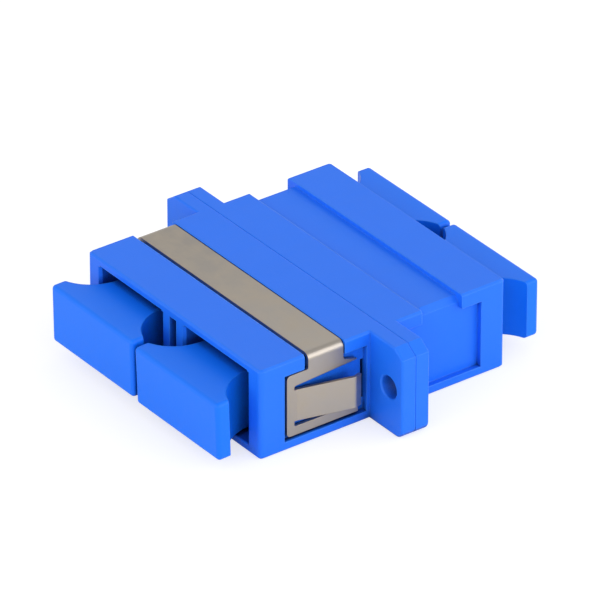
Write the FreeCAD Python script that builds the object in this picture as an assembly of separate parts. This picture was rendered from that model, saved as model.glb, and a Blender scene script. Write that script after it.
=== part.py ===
import FreeCAD, Part
import math
import os

# Duplex fibre adapter with a flange, a spring clip and four dust caps.
# Lengths are in millimetres. The origin is the centre between the two flange holes, on the
# joint of the two housing halves. +X runs along the flange, +Y along the optical axes to the
# rear, and +Z up. The clip is on the front half, which lies towards -Y.
# Each half is modelled towards +Y and turned half a turn about Z to make the front one.

# Housing, outside
body_width = 25.8
body_length = 26.8
body_height = 9.0
panel_step = 0.1
vertical_edge_radius = 0.45
rim_bevel = 0.19
seam_bevel = 0.06

# Clip channel and side pockets
end_block_length = 4.8
channel_width = 4.4
channel_depth = 0.45
side_recess = 0.58
channel_corner_bevel = 0.52
pocket_inset = 2.65
pocket_flange_wall = 0.35
pocket_floor_wall = 0.9
pocket_top_wall = 1.43
relief_width = 0.3
relief_depth = 0.5
relief_floor_wall = 1.2
relief_top_wall = 1.55

# Flange
half_flange = 1.5
ear_bevel_width = 1.2
ear_bevel_height = 0.85
ear_foot_radius = 0.9
ear_edge_radius = 0.2
hole_spacing = 31.2
hole_end_distance = 1.95
hole_diameter = 2.2
hole_rim_bevel = 0.1

# Ports
port_pitch = 12.7
port_width = 9.3
port_height = 7.4
mouth_bevel = 0.25
mouth_edge_bevel = 0.12
port_slot_width = 1.0
port_slot_depth = 9.0
keyway_width = 2.4
keyway_depth = 0.4
keyway_length = 5.5

# Latch inserts
seat_overhang = 0.6
seat_thickness = 1.2
seat_clearance = 0.04
barrel_diameter = 4.4
barrel_length = 7.0
sleeve_clearance = 0.05
barrel_mouth_diameter = 2.8
barrel_lead_in = 0.35
barrel_edge_bevel = 0.2
arm_wall_gap = 0.35
arm_thickness = 0.7
arm_height = 2.8
arm_length = 8.3
arm_tip_radius = 0.2
hook_depth = 0.28
hook_length = 1.3
hook_radius = 0.1

# Alignment sleeves
sleeve_diameter = 3.2
sleeve_bore = 2.5
sleeve_length = 11.4
sleeve_slit = 0.5

# Spring clip
sheet = 0.3
clip_front_gap = 0.5
clip_rear_gap = 0.1
clip_bend_radius = 0.65
clip_side_gap = 0.15
leg_front_gap = 0.35
leg_flange_gap = 0.85
leg_floor_gap = 0.27
leg_height = 6.18
leg_corner_radius = 0.4
neck_fillet = 0.35
neck_front_fillet = 0.15
toe_flange_gap = 1.0
toe_base = 5.83
toe_tip_height = 0.1
slot_start_margin = 0.8
lower_bar_height = 0.88
slot_end_rise = 4.98
slot_top_rise = 5.34
slot_corner_radius = 0.2
tongue_bottom_rise = 1.4
tongue_height = 3.15
tongue_angle = 14.0
tongue_length = 5.55
tongue_bend_radius = 0.6
tongue_lip_length = 0.7
tongue_lip_angle = 30.0

# Dust caps
cap_gap = 0.4
cap_height = 5.8
cap_plate = 1.3
cap_front_reach = 4.25
cap_rear_reach = 4.1
cap_neck_side_gap = 1.5
cap_flare_length = 4.0
cap_bore_clearance = 0.2
cap_bore_end_wall = 1.8
cap_inner_end = 4.2
cap_edge_radius = 0.38
front_left_droop_angle = 0.8
front_right_droop_angle = 2.0
rear_droop_angle = 0.0

half_length = body_length / 2
half_width = body_width / 2
underside = -body_height / 2
block_top = body_height / 2
panel_top = block_top - panel_step
channel_floor = block_top - channel_depth
channel_rear = half_length - end_block_length
channel_front = channel_rear - channel_width
recess_side = half_width - side_recess
clip_side = recess_side + clip_side_gap
pocket_rear = half_length - pocket_inset
pocket_front = half_flange + pocket_flange_wall
pocket_bottom = underside + pocket_floor_wall
pocket_top = block_top - pocket_top_wall
port_offset = port_pitch / 2
port_bottom = -port_height / 2
port_top = port_height / 2
seat_half_width = port_width / 2 + seat_overhang
arm_outer_offset = port_width / 2 - arm_wall_gap
arm_inner_offset = arm_outer_offset - arm_thickness
cap_neck_half_width = port_width / 2 - cap_neck_side_gap
cap_bore = barrel_diameter + 2 * cap_bore_clearance
overlap = 1.0
shortest_edge = 1e-6
flat_tolerance = 1e-4
match_tolerance = 1e-3


def box(low, high):
    size = [b - a for a, b in zip(low, high)]
    return Part.makeBox(size[0], size[1], size[2], FreeCAD.Vector(*low))


def rod(start, axis, length, diameter):
    return Part.makeCylinder(diameter / 2, length, FreeCAD.Vector(*start), FreeCAD.Vector(*axis))


def outline(corners):
    """Closed wire through (u, v, radius) corners in the XY plane, with each corner rounded."""
    points = [FreeCAD.Vector(u, v, 0) for u, v, radius in corners]
    radii = [corner[2] for corner in corners]
    starts = []
    ends = []
    middles = []
    for index, corner in enumerate(points):
        before = (points[index - 1] - corner).normalize()
        after = (points[(index + 1) % len(points)] - corner).normalize()
        radius = radii[index]
        half_angle = before.getAngle(after) / 2
        setback = radius / math.tan(half_angle) if radius else 0
        starts.append(corner + before * setback)
        ends.append(corner + after * setback)
        reach = radius / math.sin(half_angle) - radius if radius else 0
        middles.append(corner + (before + after).normalize() * reach)
    edges = []
    for index in range(len(points)):
        if radii[index]:
            edges.append(Part.Arc(starts[index], middles[index], ends[index]).toShape())
        following = (index + 1) % len(points)
        if (starts[following] - ends[index]).Length > shortest_edge:
            edges.append(Part.LineSegment(ends[index], starts[following]).toShape())
    return Part.Wire(edges)


def prism(wire, depth, direction):
    """Extrude an XY outline: 'z' keeps it in XY, 'y' stands it in XZ, 'x' stands it in YZ."""
    solid = Part.Face(wire).extrude(FreeCAD.Vector(0, 0, depth))
    if direction == "y":
        solid.rotate(FreeCAD.Vector(0, 0, 0), FreeCAD.Vector(1, 0, 0), 90)
        solid = solid.mirror(FreeCAD.Vector(0, 0, 0), FreeCAD.Vector(0, 1, 0))
    if direction == "x":
        turn = FreeCAD.Rotation(FreeCAD.Vector(1, 1, 1), 120)
        solid.Placement = FreeCAD.Placement(FreeCAD.Vector(0, 0, 0), turn)
    return solid


def moved(shape, x=0, y=0, z=0):
    copy = shape.copy()
    copy.translate(FreeCAD.Vector(x, y, z))
    return copy


def half_turn(shape):
    copy = shape.copy()
    copy.rotate(FreeCAD.Vector(0, 0, 0), FreeCAD.Vector(0, 0, 1), 180)
    return copy


def both_sides(shape):
    return [shape, shape.mirror(FreeCAD.Vector(0, 0, 0), FreeCAD.Vector(1, 0, 0))]


def edges_where(shape, test):
    return [edge for edge in shape.Edges if test(edge.BoundBox)]


def flat(low, high):
    return high - low < flat_tolerance


def near(value, target):
    return abs(value - target) < match_tolerance


def housing_block():
    """The outer block of one half, with its upright end edges rounded and its rims bevelled."""
    block = box((-half_width, 0, underside), (half_width, half_length, block_top))

    def end_upright(bounds):
        at_side = near(abs(bounds.XMin), half_width) and flat(bounds.XMin, bounds.XMax)
        return at_side and near(bounds.YMin, half_length)

    block = block.makeFillet(vertical_edge_radius, edges_where(block, end_upright))

    def rim(bounds):
        level = flat(bounds.ZMin, bounds.ZMax) and near(abs(bounds.ZMin), block_top)
        return level and bounds.YMax > overlap

    return block.makeChamfer(rim_bevel, edges_where(block, rim))


def waist_cutter(start, end, bottom, side, top, corner):
    """What trims a half, from start to end in Y, to a narrower core with bevelled top corners."""
    outside = half_width + overlap
    blank = box((-outside, start, bottom), (outside, end, block_top + overlap))
    section = outline([
        (-side, bottom - overlap, 0),
        (side, bottom - overlap, 0),
        (side, top - corner, 0),
        (side - corner, top, 0),
        (corner - side, top, 0),
        (-side, top - corner, 0),
    ])
    core = moved(prism(section, end - start, "y"), y=start)
    return blank.cut(core)


def ear_plate():
    """Half of the flange, across the whole width, with bevelled shoulders."""
    reach = hole_spacing / 2 + hole_end_distance
    section = outline([
        (-reach, underside, ear_foot_radius),
        (reach, underside, ear_foot_radius),
        (reach, panel_top - ear_bevel_height, 0),
        (reach - ear_bevel_width, panel_top, 0),
        (ear_bevel_width - reach, panel_top, 0),
        (-reach, panel_top - ear_bevel_height, 0),
    ])
    plate = prism(section, half_flange, "y")

    def outer_edge(bounds):
        return near(bounds.YMin, half_flange) and flat(bounds.YMin, bounds.YMax)

    return plate.makeFillet(ear_edge_radius, edges_where(plate, outer_edge))


def screw_hole(side):
    centre = side * hole_spacing / 2
    through = rod((centre, -overlap, 0), (0, 1, 0), half_flange + 2 * overlap, hole_diameter)
    rim = Part.makeCone(
        hole_diameter / 2,
        hole_diameter / 2 + 2 * hole_rim_bevel,
        2 * hole_rim_bevel,
        FreeCAD.Vector(centre, half_flange - hole_rim_bevel, 0),
        FreeCAD.Vector(0, 1, 0),
    )
    return through.fuse(rim)


def port_cutter():
    """One port, at X = 0: the bore for the connector, its flared mouth, keyway and insert seat."""
    half = port_width / 2
    bore = box((-half, 0, port_bottom), (half, half_length + overlap, port_top))
    flare = outline([
        (-half, half_length - mouth_bevel, 0),
        (half, half_length - mouth_bevel, 0),
        (half + 2 * mouth_bevel, half_length + mouth_bevel, 0),
        (-half - 2 * mouth_bevel, half_length + mouth_bevel, 0),
    ])
    mouth = moved(prism(flare, port_height, "z"), z=port_bottom)
    lip = outline([
        (half_length - mouth_edge_bevel, port_bottom, 0),
        (half_length + mouth_edge_bevel, port_bottom - 2 * mouth_edge_bevel, 0),
        (half_length + mouth_edge_bevel, port_top + 2 * mouth_edge_bevel, 0),
        (half_length - mouth_edge_bevel, port_top, 0),
    ])
    edge = moved(prism(lip, port_width, "x"), x=-half)
    keyway = box(
        (-keyway_width / 2, half_length - keyway_length, port_bottom - keyway_depth),
        (keyway_width / 2, half_length + overlap, port_bottom + overlap),
    )
    seat = box((-seat_half_width, -overlap, port_bottom), (seat_half_width, seat_thickness, port_top))
    return bore.multiFuse([mouth, edge, keyway, seat])


def housing_half():
    side = half_width + overlap
    half = housing_block()
    bevel_foot = panel_top - rim_bevel
    panel_end = channel_front + channel_width / 2
    half = half.cut(waist_cutter(-overlap, panel_end, bevel_foot, half_width, panel_top, rim_bevel))
    channel = (channel_front, channel_rear, pocket_bottom, recess_side, channel_floor)
    half = half.cut(waist_cutter(*channel, channel_corner_bevel))
    half = half.fuse(ear_plate()).removeSplitter()

    def seam(bounds):
        return near(bounds.YMin, 0) and flat(bounds.YMin, bounds.YMax)

    half = half.makeChamfer(seam_bevel, edges_where(half, seam))
    pocket = box((recess_side, pocket_front, pocket_bottom), (side, pocket_rear, pocket_top))
    relief = box(
        (recess_side - relief_depth, pocket_front, pocket_bottom + relief_floor_wall),
        (side, pocket_front + relief_width, pocket_top - relief_top_wall),
    )
    half = half.cut(Part.Compound(both_sides(pocket.fuse(relief))))
    half = half.cut(Part.Compound([screw_hole(-1), screw_hole(1)]))
    for side_sign in (-1, 1):
        half = half.cut(moved(port_cutter(), x=side_sign * port_offset))
    slot = box(
        (-port_slot_width / 2, half_length - port_slot_depth, port_bottom),
        (port_slot_width / 2, half_length + overlap, port_top),
    )
    return half.cut(slot).removeSplitter()


def latch_insert():
    """The insert of one port and one half: seat plate, sleeve barrel and two hooked arms."""
    seat = box(
        (seat_clearance - seat_half_width, 0, port_bottom + seat_clearance),
        (seat_half_width - seat_clearance, seat_thickness - seat_clearance, port_top - seat_clearance),
    )
    barrel = rod((0, 0, 0), (0, 1, 0), barrel_length, barrel_diameter)

    def barrel_end(bounds):
        return near(bounds.YMin, barrel_length) and flat(bounds.YMin, bounds.YMax)

    barrel = barrel.makeChamfer(barrel_edge_bevel, edges_where(barrel, barrel_end))
    hook = arm_inner_offset - hook_depth
    arm_outline = outline([
        (arm_inner_offset, 0, 0),
        (arm_outer_offset, 0, 0),
        (arm_outer_offset, arm_length, arm_tip_radius),
        (hook, arm_length - arm_thickness, hook_radius),
        (hook, arm_length - hook_length, 0),
        (arm_inner_offset, arm_length - hook_length - hook_depth, 0),
    ])
    arm = moved(prism(arm_outline, arm_height, "z"), z=-arm_height / 2)
    insert = seat.multiFuse([barrel] + both_sides(arm))
    sleeve_room = sleeve_length / 2 + sleeve_clearance
    room_diameter = sleeve_diameter + 2 * sleeve_clearance
    insert = insert.cut(rod((0, -overlap, 0), (0, 1, 0), sleeve_room + overlap, room_diameter))
    mouth_length = barrel_length - sleeve_room
    mouth = Part.makeCone(
        barrel_mouth_diameter / 2,
        barrel_mouth_diameter / 2 + 2 * barrel_lead_in,
        2 * mouth_length,
        FreeCAD.Vector(0, sleeve_room, 0),
        FreeCAD.Vector(0, 1, 0),
    )
    insert = insert.cut(mouth)
    return insert.removeSplitter()


def split_sleeve():
    tube = rod((0, -sleeve_length / 2, 0), (0, 1, 0), sleeve_length, sleeve_diameter)
    tube = tube.cut(rod((0, -sleeve_length, 0), (0, 1, 0), 2 * sleeve_length, sleeve_bore))
    slit = box(
        (-sleeve_slit / 2, -sleeve_length, 0),
        (sleeve_slit / 2, sleeve_length, sleeve_diameter),
    )
    return tube.cut(slit)


def bent_strip(points, thickness):
    """Outline of a strip of even thickness along a centre line of (x, y, bend radius) points."""
    sides = []
    for sign in (1, -1):
        row = []
        for index, (x, y, radius) in enumerate(points):
            before = points[max(index - 1, 0)]
            after = points[min(index + 1, len(points) - 1)]
            arriving = FreeCAD.Vector(x - before[0], y - before[1], 0)
            leaving = FreeCAD.Vector(after[0] - x, after[1] - y, 0)
            arriving = (arriving if index else leaving).normalize()
            leaving = (leaving if leaving.Length else arriving).normalize()
            turn = arriving.getAngle(leaving)
            inner = arriving.cross(leaving).z * sign > 0
            along = (arriving + leaving).normalize()
            offset = sign * thickness / 2 / math.cos(turn / 2)
            corner = max(radius + (-thickness if inner else thickness) / 2, 0) if radius else 0
            row.append((x - along.y * offset, y + along.x * offset, corner))
        sides.append(row)
    return outline(sides[0] + sides[1][::-1])


def clip_leg():
    """Right leg of the clip, in its rear place: a frame, open towards the flange, with a tongue."""
    left = pocket_front + leg_flange_gap
    right = pocket_rear - leg_front_gap
    bottom = pocket_bottom + leg_floor_gap
    neck_left = channel_front + clip_rear_gap
    neck_right = channel_rear - clip_front_gap
    neck_top = channel_floor + sheet - clip_bend_radius
    toe = pocket_front + toe_flange_gap
    slot_start = right - slot_start_margin
    slot_top = bottom + slot_top_rise
    plate = outline([
        (left, bottom, 0),
        (right, bottom, leg_corner_radius),
        (right, bottom + leg_height, leg_corner_radius),
        (neck_right, bottom + leg_height, neck_front_fillet),
        (neck_right, neck_top, 0),
        (neck_left, neck_top, 0),
        (neck_left, bottom + toe_base, neck_fillet),
        (toe, slot_top + toe_tip_height, 0),
        (toe, bottom + tongue_height, 0),
        (left, bottom + tongue_height, 0),
    ])
    leg = moved(prism(plate, sheet, "x"), x=clip_side)
    window = outline([
        (left - overlap, bottom + lower_bar_height, 0),
        (slot_start, bottom + lower_bar_height, slot_corner_radius),
        (slot_start, bottom + slot_end_rise, slot_corner_radius),
        (toe, slot_top, 0),
        (left - overlap, slot_top, 0),
    ])
    leg = leg.cut(moved(prism(window, sheet, "x"), x=clip_side))
    middle = clip_side + sheet / 2
    slope = math.radians(tongue_angle)
    lip = math.radians(tongue_angle - tongue_lip_angle)
    bend = slot_start - tongue_bend_radius / 2
    tip_x = middle + tongue_length * math.sin(slope)
    tip_y = bend - tongue_length * math.cos(slope)
    lip_x = tip_x + tongue_lip_length * math.sin(lip)
    lip_y = tip_y - tongue_lip_length * math.cos(lip)
    root = slot_start + slot_start_margin / 3
    centre_line = [
        (middle, root, 0),
        (middle, bend, tongue_bend_radius),
        (tip_x, tip_y, tongue_bend_radius),
        (lip_x, lip_y, 0),
    ]
    tongue = prism(bent_strip(centre_line, sheet), tongue_height, "z")
    return leg.fuse(moved(tongue, z=bottom + tongue_bottom_rise))


def spring_clip():
    """The clip, in its rear place: a band over the top and a leg down each side."""
    outer_side = clip_side + sheet
    outer_top = channel_floor + sheet
    neck_top = outer_top - clip_bend_radius
    inner_radius = clip_bend_radius - sheet
    around = outline([
        (-outer_side, neck_top, 0),
        (outer_side, neck_top, 0),
        (outer_side, outer_top, clip_bend_radius),
        (-outer_side, outer_top, clip_bend_radius),
    ])
    within = outline([
        (-clip_side, neck_top - overlap, 0),
        (clip_side, neck_top - overlap, 0),
        (clip_side, channel_floor, inner_radius),
        (-clip_side, channel_floor, inner_radius),
    ])
    width = channel_width - clip_front_gap - clip_rear_gap
    band = prism(around, width, "y").cut(prism(within, width, "y"))
    band = moved(band, y=channel_front + clip_rear_gap)
    return band.multiFuse(both_sides(clip_leg())).removeSplitter()


def scoop_cutter(plate_half, plate_back):
    """What is cut from the right side of a cap, so that its plate flares down to the neck."""
    flare_end = plate_back - cap_flare_length
    flare_depth = plate_half - cap_neck_half_width
    flare_radius = (flare_depth ** 2 + cap_flare_length ** 2) / (2 * flare_depth)
    drop = flare_radius - math.sqrt(flare_radius ** 2 - (cap_flare_length / 2) ** 2)
    outside = plate_half + overlap
    start = cap_inner_end - overlap
    corners = [
        FreeCAD.Vector(cap_neck_half_width, flare_end, 0),
        FreeCAD.Vector(cap_neck_half_width, start, 0),
        FreeCAD.Vector(outside, start, 0),
        FreeCAD.Vector(outside, plate_back, 0),
        FreeCAD.Vector(plate_half, plate_back, 0),
    ]
    middle = FreeCAD.Vector(cap_neck_half_width + drop, plate_back - cap_flare_length / 2, 0)
    edges = [Part.LineSegment(*pair).toShape() for pair in zip(corners, corners[1:])]
    edges.append(Part.Arc(corners[-1], middle, corners[0]).toShape())
    depth = cap_height + 2 * overlap
    return moved(prism(Part.Wire(edges), depth, "z"), z=-depth / 2)


def dust_cap(reach, droop_angle):
    """A dust cap in its rear place, at X = 0: a rounded grip plate on a hollow neck."""
    outer_face = half_length + reach
    plate_half = (port_pitch - cap_gap) / 2
    cap = box(
        (-plate_half, cap_inner_end, -cap_height / 2),
        (plate_half, outer_face, cap_height / 2),
    )

    def outer_edge(bounds):
        along = flat(bounds.ZMin, bounds.ZMax) and bounds.YMax > cap_inner_end + overlap
        return along or near(bounds.YMin, outer_face)

    cap = cap.makeFillet(cap_edge_radius, edges_where(cap, outer_edge))
    scoop = scoop_cutter(plate_half, outer_face - cap_plate)
    cap = cap.cut(Part.Compound(both_sides(scoop)))
    bore_length = outer_face - cap_bore_end_wall - cap_inner_end
    cap = cap.cut(rod((0, cap_inner_end, 0), (0, 1, 0), bore_length, cap_bore))
    grip_middle = (cap_inner_end + barrel_length) / 2
    cap.rotate(FreeCAD.Vector(0, grip_middle, 0), FreeCAD.Vector(1, 0, 0), -droop_angle)
    return cap


def save(name, shape):
    if len(shape.Solids) != 1 or not shape.isValid():
        raise ValueError(name + " is not one valid solid")
    shape.Solids[0].exportStep("parts/" + name + ".step")


def main():
    os.makedirs("parts", exist_ok=True)
    half = housing_half()
    save("rear_housing", half)
    save("front_housing", half_turn(half))
    save("spring_clip", half_turn(spring_clip()))
    insert = latch_insert()
    sleeve = split_sleeve()
    front_droops = {"left": front_left_droop_angle, "right": front_right_droop_angle}
    for side, sign in (("left", -1), ("right", 1)):
        offset = sign * port_offset
        save("rear_" + side + "_latch", moved(insert, x=offset))
        save("front_" + side + "_latch", moved(half_turn(insert), x=offset))
        save(side + "_sleeve", moved(sleeve, x=offset))
        save("rear_" + side + "_cap", moved(dust_cap(cap_rear_reach, rear_droop_angle), x=offset))
        front_cap = half_turn(dust_cap(cap_front_reach, front_droops[side]))
        save("front_" + side + "_cap", moved(front_cap, x=offset))


main()
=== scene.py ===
import math

import bmesh
import bpy
from mathutils import Matrix, Vector


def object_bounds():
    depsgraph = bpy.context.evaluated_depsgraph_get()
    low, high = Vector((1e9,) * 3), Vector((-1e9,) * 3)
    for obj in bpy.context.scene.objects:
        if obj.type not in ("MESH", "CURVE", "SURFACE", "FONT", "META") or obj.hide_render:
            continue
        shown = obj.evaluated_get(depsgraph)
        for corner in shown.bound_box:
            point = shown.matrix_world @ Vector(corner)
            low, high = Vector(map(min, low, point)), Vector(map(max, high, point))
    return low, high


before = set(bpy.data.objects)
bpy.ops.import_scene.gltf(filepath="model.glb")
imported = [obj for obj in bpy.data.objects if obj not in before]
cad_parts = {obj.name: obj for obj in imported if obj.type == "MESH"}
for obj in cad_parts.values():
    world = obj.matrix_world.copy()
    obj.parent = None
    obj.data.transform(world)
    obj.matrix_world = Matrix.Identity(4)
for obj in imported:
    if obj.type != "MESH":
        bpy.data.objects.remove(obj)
cad_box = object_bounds()

bl_info = {
    "name": "Duplex Fibre Adapter",
    "version": (1, 0, 0),
    "blender": (4, 5, 0),
    "location": "3D View > Sidebar > Fibre Adapter",
    "description": "Dresses the packed adapter: housings, latches, sleeves, spring clip and dust caps",
    "category": "Object",
}

# The object's lengths are written in millimetres, and Blender takes metres.
MM = 0.001

WHITE = (1.0, 1.0, 1.0, 1.0)

# Rays that a rounded edge or a look into a recess takes for each sample.
SHADING_RAYS = 8

# Limits come in pairs: where an effect begins and where it is full. The first pair is how far rounding has
# to turn a surface to make it an edge, the second how high a face has to look not to be an underside.
EDGE_TURN = (0.0, 0.25)
NOT_UNDERSIDE = (-0.75, -0.5)

# Moulded plastic: clouds between two tones, flow marks drawn out front to back, and a spark-eroded skin.
PLASTIC_TONES = (0.95, 1.03)
PLASTIC_IOR = 1.46
PLASTIC_SPECULAR = 0.27
CLOUD_GRAIN = 3.5 * MM
CLOUD_SHARE = 0.6
FLOW_GRAIN = 1.2 * MM
FLOW_STRETCH = (1.0, 0.25, 1.0)
FLOW_GLOSS = 0.12
SKIN_GRAIN = 0.11 * MM
SKIN_GLOSS = 0.1
SKIN_DEPTH = 0.006 * MM

# Painted highlight: outer edges are painted paler in place of the light they catch, more in some clouds
# than in others. Inner corners get no painted highlight.
EDGE_HIGHLIGHT_BLUE = (0.09, 0.36, 0.95, 1.0)
EDGE_HIGHLIGHT_SHARE = (0.35, 0.65)
CORNER_REACH = 0.5 * MM
CORNER_COVER = (0.0, 0.25)

# Painted shade: deep recesses are painted dark in the base colour, by how much of the surroundings within a
# reach is covered.
PAINTED_SHADE_BLUE = (0.003, 0.01, 0.04, 1.0)
RECESS_REACH = 3.0 * MM
RECESS_COVER = (0.568, 0.795)

# Rolled steel: fine lines along the strip, warm stains, wide patches and a left end that is darker.
STEEL_TONES = (0.84, 1.12)
LINE_GRAIN = 0.05 * MM
LINE_STRETCH = (0.03, 1.0, 0.03)
LINE_GLOSS = 0.16
LINE_DEPTH = 0.002 * MM
STAIN_GRAIN = 2.4 * MM
STAIN_LIMITS = (0.375, 0.792)
STAIN_TINT = (1.0, 0.95, 0.86)
STAIN_GLOSS = 0.12
PATCH_GRAIN = 14.0 * MM
PATCH_CONTRAST = 0.8
STRIP_WIDTH = 26.0 * MM
LEFT_END_TONE = 0.78

# The strip's sheared edges are browned over a narrow width, more where it is stained.
EDGE_BROWN = (0.38, 0.25, 0.17, 1.0)
BROWNED_WIDTH = 0.12 * MM
BROWNED_SHARE = (0.3, 0.9)

# Ground ceramic: a slight mottle and the finest of grinding marks.
CERAMIC_TONES = (0.96, 1.02)
CERAMIC_ROUGHNESS = (0.16, 0.24)
MOTTLE_GRAIN = 0.6 * MM
GRINDING_GRAIN = 0.05 * MM
GRINDING_DEPTH = 0.001 * MM

# The stage is in metres. A lamp's direction is seen from the adapter, and its width runs along a line.
FLOOR_REACH = 2.0
FRONT_LAMP = {"direction": (0.05, -0.94, 0.34), "away": 0.9, "size": (1.5, 1.1), "along": (1, 0, 0)}
SIDE_LAMP = {"direction": (0.78, 0.55, 0.29), "away": 0.9, "size": (2.2, 0.95), "along": (0.55, -0.79, 0)}

# To the camera the floor is darker than it is to the adapter, and glows up to white.
SEEN_TONE = 0.5
SEEN_GLOW = 0.66
MIRRORED_GLOW = 0.1

# The camera's angles in degrees and the point that it looks at.
CAMERA_TURN = 53.465
CAMERA_RISE = 30.721
CAMERA_TILT = 0.058
CAMERA_TARGET = (-0.965 * MM, 1.164 * MM, 0.0)
NEAREST_SEEN = 10.0 * MM
SENSOR_WIDTH = 36.0


class Value:
    """A number that varies over a surface: Python's operators add the Math nodes."""

    def __init__(self, nodes, output):
        self.nodes = nodes
        self.output = output

    def combine(self, operation, first, second):
        node = self.nodes.node("ShaderNodeMath", {0: first, 1: second}, operation=operation)
        return Value(self.nodes, node.outputs[0])

    def __add__(self, other):
        return self.combine("ADD", self, other)

    def __radd__(self, other):
        return self.combine("ADD", other, self)

    def __sub__(self, other):
        return self.combine("SUBTRACT", self, other)

    def __rsub__(self, other):
        return self.combine("SUBTRACT", other, self)

    def __mul__(self, other):
        return self.combine("MULTIPLY", self, other)

    def rise(self, start, full):
        """0 up to the start, 1 from where it is full."""
        inputs = {"Value": self, "From Min": start, "From Max": full}
        return Value(self.nodes, self.nodes.node("ShaderNodeMapRange", inputs).outputs[0])

    def between(self, low, high):
        """Stretches 0 to 1 into low to high."""
        return low + self * (high - low)

    def swing(self, amount):
        """Up and down from 0, for a noise that is 0.5 in the middle."""
        return (self - 0.5) * amount


class Nodes:
    """The node tree of a material or a world."""

    def __init__(self, owner):
        owner.use_nodes = True
        self.tree = owner.node_tree
        self.tree.nodes.clear()

    def node(self, kind, inputs=None, **settings):
        """Adds a node: its settings first, then the values or links of its sockets."""
        node = self.tree.nodes.new(kind)
        for name, value in settings.items():
            setattr(node, name, value)
        for key, value in (inputs or {}).items():
            if isinstance(key, int):
                socket = node.inputs[key]
            else:
                socket = next(s for s in node.inputs if key in (s.identifier, s.name))
            if isinstance(value, Value):
                value = value.output
            if isinstance(value, bpy.types.NodeSocket):
                self.tree.links.new(value, socket)
            else:
                socket.default_value = value
        return node


class Shader(Nodes):
    """One material and the patterns in it, with all lengths in metres."""

    def __init__(self, name):
        self.material = bpy.data.materials.new(name)
        super().__init__(self.material)

    def place(self, scale=(1.0, 1.0, 1.0)):
        """Object coordinates, stretched."""
        coordinates = self.node("ShaderNodeTexCoord").outputs["Object"]
        return self.node("ShaderNodeMapping", {"Vector": coordinates, "Scale": scale}).outputs["Vector"]

    def noise(self, place, grain, detail=2.0, roughness=0.5, distortion=0.0):
        """Noise from 0 to 1 whose lumps are about as large as the grain."""
        inputs = {
            "Vector": place,
            "Scale": 1 / grain,
            "Detail": detail,
            "Roughness": roughness,
            "Distortion": distortion,
        }
        return Value(self, self.node("ShaderNodeTexNoise", inputs).outputs["Fac"])

    def blend(self, mask, first, second):
        """The first colour where the mask is 0 and the second where it is 1."""
        inputs = {"Factor_Float": mask, "A_Color": first, "B_Color": second}
        node = self.node("ShaderNodeMix", inputs, data_type="RGBA", clamp_factor=True)
        return next(s for s in node.outputs if s.identifier == "Result_Color")

    def leftward(self, width):
        """0 at the right end of a piece that is this wide, 1 at its left end."""
        across = self.node("ShaderNodeSeparateXYZ", {"Vector": self.place()}).outputs["X"]
        return Value(self, across).rise(width / 2, -width / 2)

    def direction(self):
        """The surface's own direction, before any rounding or bump."""
        return self.node("ShaderNodeNewGeometry").outputs["Normal"]

    def soft_edges(self, radius):
        """The surface's direction with its edges rounded."""
        return self.node("ShaderNodeBevel", {"Radius": radius}, samples=SHADING_RAYS).outputs["Normal"]

    def edges(self, softened):
        """1 on sharp edges and 0 on faces, from how far rounding has turned the surface."""
        inputs = {0: softened, 1: self.direction()}
        likeness = self.node("ShaderNodeVectorMath", inputs, operation="DOT_PRODUCT").outputs["Value"]
        return (1.0 - Value(self, likeness)).rise(*EDGE_TURN)

    def cover(self, reach):
        """0 on an open face, nearer 1 in corners and recesses that are narrower than the reach."""
        node = self.node("ShaderNodeAmbientOcclusion", {"Distance": reach}, samples=SHADING_RAYS)
        return 1.0 - Value(self, node.outputs["AO"])

    def not_underside(self):
        """1 on faces that look up or sideways, 0 on those that look down at the floor."""
        upward = self.node("ShaderNodeSeparateXYZ", {"Vector": self.direction()}).outputs["Z"]
        return Value(self, upward).rise(*NOT_UNDERSIDE)

    def bump(self, height, depth, normal=None):
        """A direction pushed by a height from 0 to 1 that is as deep as the depth."""
        inputs = {"Height": height, "Distance": depth, "Strength": 1.0}
        if normal is not None:
            inputs["Normal"] = normal
        return self.node("ShaderNodeBump", inputs).outputs["Normal"]

    def finish(self, inputs):
        surface = self.node("ShaderNodeBsdfPrincipled", inputs)
        self.node("ShaderNodeOutputMaterial", {"Surface": surface.outputs["BSDF"]})
        return self.material


def colour(rgb):
    return (rgb[0], rgb[1], rgb[2], 1.0)


def toned(rgb, tone):
    """A colour darker or lighter by a factor, up to white."""
    return colour([min(channel * tone, 1.0) for channel in rgb])


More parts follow.
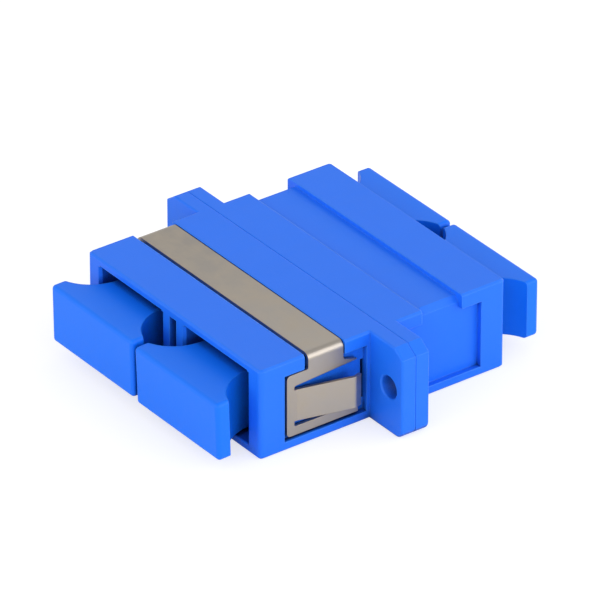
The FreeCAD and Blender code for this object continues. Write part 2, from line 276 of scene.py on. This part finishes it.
def moulded_plastic(name, rgb, roughness, edge_radius, depth_shade):
    """Moulded plastic: a fine skin, slow clouds in colour and gloss, a painted highlight on outer edges and
    painted shade in recesses.
    """
    shader = Shader(name)
    place = shader.place()
    skin = shader.noise(place, SKIN_GRAIN, detail=3.0, roughness=0.6)
    cloud = shader.noise(place, CLOUD_GRAIN)
    drawn_out = shader.place(FLOW_STRETCH)
    flow = shader.noise(drawn_out, FLOW_GRAIN, detail=3.0, roughness=0.6, distortion=0.6)
    dark, light = [toned(rgb, tone) for tone in PLASTIC_TONES]
    base = shader.blend(cloud * CLOUD_SHARE + flow * (1 - CLOUD_SHARE), dark, light)

    rounded = shader.soft_edges(edge_radius)
    corner = shader.cover(CORNER_REACH).rise(*CORNER_COVER)
    # Painted highlight: outer edges are lightened in the base colour, except in inner corners.
    painted_edge_highlight = shader.edges(rounded) * (1.0 - corner) * cloud.between(*EDGE_HIGHLIGHT_SHARE)
    base = shader.blend(painted_edge_highlight, base, EDGE_HIGHLIGHT_BLUE)

    # Painted shade: deep recesses are darkened in the base colour, but undersides are not.
    painted_recess_shade = shader.cover(RECESS_REACH).rise(*RECESS_COVER) * shader.not_underside()
    base = shader.blend(painted_recess_shade * depth_shade, base, PAINTED_SHADE_BLUE)
    return shader.finish({
        "Base Color": base,
        "Roughness": roughness + flow.swing(FLOW_GLOSS) + skin.swing(SKIN_GLOSS),
        "IOR": PLASTIC_IOR,
        "Specular IOR Level": PLASTIC_SPECULAR,
        "Normal": shader.bump(skin, SKIN_DEPTH, rounded),
    })


def rolled_steel(name, rgb, roughness, edge_radius):
    """Rolled spring steel: fine lines along the strip, light warm stains, dull patches and brown edges."""
    shader = Shader(name)
    place = shader.place()
    lines = shader.noise(shader.place(LINE_STRETCH), LINE_GRAIN, detail=3.0, roughness=0.6)
    stain = shader.noise(place, STAIN_GRAIN, detail=3.0, roughness=0.55)
    patch = shader.noise(place, PATCH_GRAIN, detail=1.0)
    dark, light = [toned(rgb, tone) for tone in STEEL_TONES]
    mottle = 0.5 + stain.swing(PATCH_CONTRAST) + patch.swing(PATCH_CONTRAST)
    base = shader.blend(mottle, dark, light)
    # The base colour darkens towards the strip's left end.
    base = shader.blend(shader.leftward(STRIP_WIDTH), base, toned(rgb, LEFT_END_TONE))
    warm = colour([channel * tint for channel, tint in zip(rgb, STAIN_TINT)])
    base = shader.blend(stain.rise(*STAIN_LIMITS), base, warm)
    browned = shader.edges(shader.soft_edges(BROWNED_WIDTH)) * stain.between(*BROWNED_SHARE)
    base = shader.blend(browned, base, EDGE_BROWN)
    return shader.finish({
        "Base Color": base,
        "Metallic": 1.0,
        "Roughness": roughness + lines.swing(LINE_GLOSS) + stain.swing(STAIN_GLOSS),
        "Normal": shader.bump(lines, LINE_DEPTH, shader.soft_edges(edge_radius)),
    })


def ground_ceramic(name, rgb):
    """Ground and polished ceramic: a milky body with a very slight mottle."""
    shader = Shader(name)
    place = shader.place()
    mottle = shader.noise(place, MOTTLE_GRAIN, detail=3.0)
    marks = shader.noise(place, GRINDING_GRAIN)
    dark, light = [toned(rgb, tone) for tone in CERAMIC_TONES]
    return shader.finish({
        "Base Color": shader.blend(mottle, dark, light),
        "Roughness": mottle.between(*CERAMIC_ROUGHNESS),
        "Normal": shader.bump(marks, GRINDING_DEPTH),
    })


def dress(names, material):
    """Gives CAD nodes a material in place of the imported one."""
    for name in names:
        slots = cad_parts[name].material_slots
        if not slots:
            raise RuntimeError(name + " has no material slot")
        for slot in slots:
            slot.material = material


def nodes_ending(ending):
    """The names of the CAD nodes of one sort, such as all the caps."""
    return [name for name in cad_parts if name.endswith(ending)]


def colour_setting(name, description, default):
    return bpy.props.FloatVectorProperty(
        name=name, description=description, default=default, subtype="COLOR", min=0, max=1
    )


def length_setting(name, description, default):
    return bpy.props.FloatProperty(
        name=name, description=description, default=default, min=0, unit="LENGTH", precision=5
    )


def number_setting(name, description, default, highest):
    return bpy.props.FloatProperty(
        name=name, description=description, default=default, min=0, max=highest
    )


class PlasticSettings(bpy.types.PropertyGroup):
    housing: colour_setting("Housing", "Colour of the two housing halves", (0.0125, 0.161, 0.86))
    # The latch inserts are a dark navy, a colour that paints shade into the depth of the ports.
    latch: colour_setting("Latch", "Colour of the latch inserts", (0.008, 0.06, 0.34))
    cap: colour_setting("Dust cap", "Colour of the dust caps", (0.0045, 0.164, 0.88))
    gloss: number_setting("Roughness", "Roughness of the moulded skin", 0.4, 1.0)
    shade: number_setting("Recess shade", "How far recesses of the plastic darken", 1.0, 1.0)
    edge: length_setting("Edge rounding", "Radius that softens the housings' and latches' edges", 0.16 * MM)
    cap_edge: length_setting("Cap edge rounding", "Radius that softens the dust caps' edges", 0.14 * MM)


class MetalSettings(bpy.types.PropertyGroup):
    steel: colour_setting("Steel", "Colour of the spring clip", (0.45, 0.41, 0.366))
    gloss: number_setting("Roughness", "Roughness of the rolled strip", 0.38, 1.0)
    edge: length_setting("Edge rounding", "Radius that softens the sheared edges", 0.04 * MM)
    ceramic: colour_setting("Sleeve", "Colour of the split sleeves", (0.86, 0.84, 0.79))


class StageSettings(bpy.types.PropertyGroup):
    floor: colour_setting("Floor", "Colour of the floor", (0.9, 0.9, 0.9))
    horizon: number_setting("Horizon", "Brightness of the room all round", 1.18, 5.0)
    zenith: number_setting("Zenith", "Brightness of the room overhead", 0.52, 5.0)
    front: number_setting("Front light", "Brightness of the wide lamp before the front ports", 0.85, 100.0)
    side: number_setting("Side light", "Brightness of the long low lamp on the right", 1.36, 100.0)
    distance: length_setting("Distance", "Distance from the camera to the adapter", 700.34 * MM)
    lens: number_setting("Focal length", "Focal length on a 36 mm wide sensor", 473.69, 2000.0)


class DressHousings(bpy.types.Operator):
    """Gives both housing halves their moulded blue plastic"""

    bl_idname = "adapter.dress_housings"
    bl_label = "Housings"

    def execute(self, context):
        look = context.scene.adapter_plastic
        plastic = moulded_plastic("housing_plastic", look.housing, look.gloss, look.edge, look.shade)
        dress(nodes_ending("_housing"), plastic)
        return {"FINISHED"}


class DressLatches(bpy.types.Operator):
    """Gives the four latch inserts their plastic and the two sleeves their ceramic"""

    bl_idname = "adapter.dress_latches"
    bl_label = "Latches and sleeves"

    def execute(self, context):
        look = context.scene.adapter_plastic
        plastic = moulded_plastic("latch_plastic", look.latch, look.gloss, look.edge, look.shade)
        dress(nodes_ending("_latch"), plastic)
        ceramic = ground_ceramic("sleeve_ceramic", context.scene.adapter_metal.ceramic)
        dress(nodes_ending("_sleeve"), ceramic)
        return {"FINISHED"}


class DressClip(bpy.types.Operator):
    """Gives the spring clip its rolled steel"""

    bl_idname = "adapter.dress_clip"
    bl_label = "Spring clip"

    def execute(self, context):
        look = context.scene.adapter_metal
        dress(("spring_clip",), rolled_steel("clip_steel", look.steel, look.gloss, look.edge))
        return {"FINISHED"}


class DressCaps(bpy.types.Operator):
    """Gives the four dust caps their soft blue plastic"""

    bl_idname = "adapter.dress_caps"
    bl_label = "Dust caps"

    def execute(self, context):
        look = context.scene.adapter_plastic
        plastic = moulded_plastic("cap_plastic", look.cap, look.gloss, look.cap_edge, look.shade)
        dress(nodes_ending("_cap"), plastic)
        return {"FINISHED"}


def stand(thing, place, axes):
    """Adds an object to the scene at a place, its own x, y and z along the three axes."""
    bpy.context.scene.collection.objects.link(thing)
    thing.matrix_world = Matrix.Translation(place) @ Matrix(axes).transposed().to_4x4()


def build_lamp(name, brightness, direction, away, size, along):
    """A lamp of even brightness, where 1 is white, that faces the adapter."""
    light = bpy.data.lights.new(name, "AREA")
    light.shape = "RECTANGLE"
    light.size, light.size_y = size
    light.energy = math.pi * size[0] * size[1] * brightness
    lamp = bpy.data.objects.new(name, light)
    lamp.visible_camera = False
    back = Vector(direction).normalized()
    upward = back.cross(Vector(along)).normalized()
    stand(lamp, back * away, (upward.cross(back), upward, back))


def build_camera(distance, lens):
    """A camera at the fitted angle, with the adapter in the middle of its view."""
    data = bpy.data.cameras.new("camera")
    data.lens = lens
    data.sensor_width = SENSOR_WIDTH
    data.sensor_fit = "HORIZONTAL"
    data.clip_start = NEAREST_SEEN
    camera = bpy.data.objects.new("camera", data)

    turn, rise, tilt = [math.radians(angle) for angle in (CAMERA_TURN, CAMERA_RISE, CAMERA_TILT)]
    back = Vector((math.sin(turn) * math.cos(rise), -math.cos(turn) * math.cos(rise), math.sin(rise)))
    level = Vector((math.cos(turn), math.sin(turn), 0))
    steep = back.cross(level)
    across = level * math.cos(tilt) + steep * math.sin(tilt)
    upward = steep * math.cos(tilt) - level * math.sin(tilt)
    stand(camera, Vector(CAMERA_TARGET) + back * distance, (across, upward, back))
    bpy.context.scene.camera = camera


def floor_material(rgb):
    """A matt floor that the camera sees as white paper, with a soft shadow under the adapter."""
    shader = Shader("floor_white")
    path = shader.node("ShaderNodeLightPath")
    seen = Value(shader, path.outputs["Is Camera Ray"])
    mirrored = Value(shader, path.outputs["Is Glossy Ray"])
    matt = shader.node("ShaderNodeBsdfDiffuse", {"Color": colour(rgb)}).outputs[0]
    paper = shader.node("ShaderNodeBsdfDiffuse", {"Color": toned(rgb, SEEN_TONE)}).outputs[0]
    either = shader.node("ShaderNodeMixShader", {0: seen, 1: matt, 2: paper}).outputs[0]
    glow = seen * SEEN_GLOW + mirrored * MIRRORED_GLOW
    lift = shader.node("ShaderNodeEmission", {"Strength": glow}).outputs[0]
    both = shader.node("ShaderNodeAddShader", {0: either, 1: lift}).outputs[0]
    shader.node("ShaderNodeOutputMaterial", {"Surface": both})
    return shader.material


def build_floor(rgb):
    """A wide floor under the adapter."""
    mesh = bpy.data.meshes.new("floor")
    form = bmesh.new()
    bmesh.ops.create_grid(form, x_segments=1, y_segments=1, size=FLOOR_REACH)
    bmesh.ops.translate(form, verts=form.verts, vec=(0, 0, cad_box[0][2]))
    form.to_mesh(mesh)
    form.free()
    mesh.materials.append(floor_material(rgb))
    floor = bpy.data.objects.new("floor", mesh)
    bpy.context.scene.collection.objects.link(floor)


def build_world(horizon, zenith):
    """A white room to the camera; for the light, bright all round and dimmer overhead."""
    world = bpy.data.worlds.new("studio")
    nodes = Nodes(world)
    seen = nodes.node("ShaderNodeLightPath").outputs["Is Camera Ray"]
    around = nodes.node("ShaderNodeTexCoord").outputs["Generated"]
    height = nodes.node("ShaderNodeSeparateXYZ", {"Vector": around}).outputs["Z"]
    limits = {"Value": height, "To Min": horizon, "To Max": zenith}
    brightness = nodes.node("ShaderNodeMapRange", limits).outputs[0]
    room = nodes.node("ShaderNodeBackground", {"Color": WHITE, "Strength": brightness}).outputs[0]
    white = nodes.node("ShaderNodeBackground", {"Color": WHITE, "Strength": 1.0}).outputs[0]
    either = nodes.node("ShaderNodeMixShader", {0: seen, 1: room, 2: white}).outputs[0]
    nodes.node("ShaderNodeOutputWorld", {"Surface": either})
    bpy.context.scene.world = world


class BuildStage(bpy.types.Operator):
    """Makes the floor, the even sky, the soft lamps and the camera"""

    bl_idname = "adapter.build_stage"
    bl_label = "Stage"

    def execute(self, context):
        look = context.scene.adapter_stage
        context.scene.view_settings.view_transform = "Standard"
        build_floor(look.floor)
        build_world(look.horizon, look.zenith)
        build_lamp("front_lamp", look.front, **FRONT_LAMP)
        build_lamp("side_lamp", look.side, **SIDE_LAMP)
        build_camera(look.distance, look.lens)
        return {"FINISHED"}


class AdapterPanel(bpy.types.Panel):
    """Shows the settings and the steps that dress the adapter"""

    bl_idname = "VIEW3D_PT_fibre_adapter"
    bl_label = "Fibre Adapter"
    bl_space_type = "VIEW_3D"
    bl_region_type = "UI"
    bl_category = "Fibre Adapter"

    def draw(self, context):
        for name in SETTINGS:
            group = getattr(context.scene, name)
            box = self.layout.box()
            for setting in group.bl_rna.properties.keys():
                if setting not in ("rna_type", "name"):
                    box.prop(group, setting)
        for step in STEPS:
            self.layout.operator(step.bl_idname)


STEPS = (DressHousings, DressLatches, DressClip, DressCaps, BuildStage)
SETTINGS = {
    "adapter_plastic": PlasticSettings,
    "adapter_metal": MetalSettings,
    "adapter_stage": StageSettings,
}


def register():
    for name, group in SETTINGS.items():
        bpy.utils.register_class(group)
        setattr(bpy.types.Scene, name, bpy.props.PointerProperty(type=group))
    for step in STEPS:
        bpy.utils.register_class(step)
    bpy.utils.register_class(AdapterPanel)


def unregister():
    bpy.utils.unregister_class(AdapterPanel)
    for step in reversed(STEPS):
        bpy.utils.unregister_class(step)
    for name, group in SETTINGS.items():
        delattr(bpy.types.Scene, name)
        bpy.utils.unregister_class(group)


def main():
    register()
    bpy.ops.adapter.dress_housings()
    bpy.ops.adapter.dress_latches()
    bpy.ops.adapter.dress_clip()
    bpy.ops.adapter.dress_caps()
    bpy.ops.adapter.build_stage()


if __name__ == "__main__":
    main()
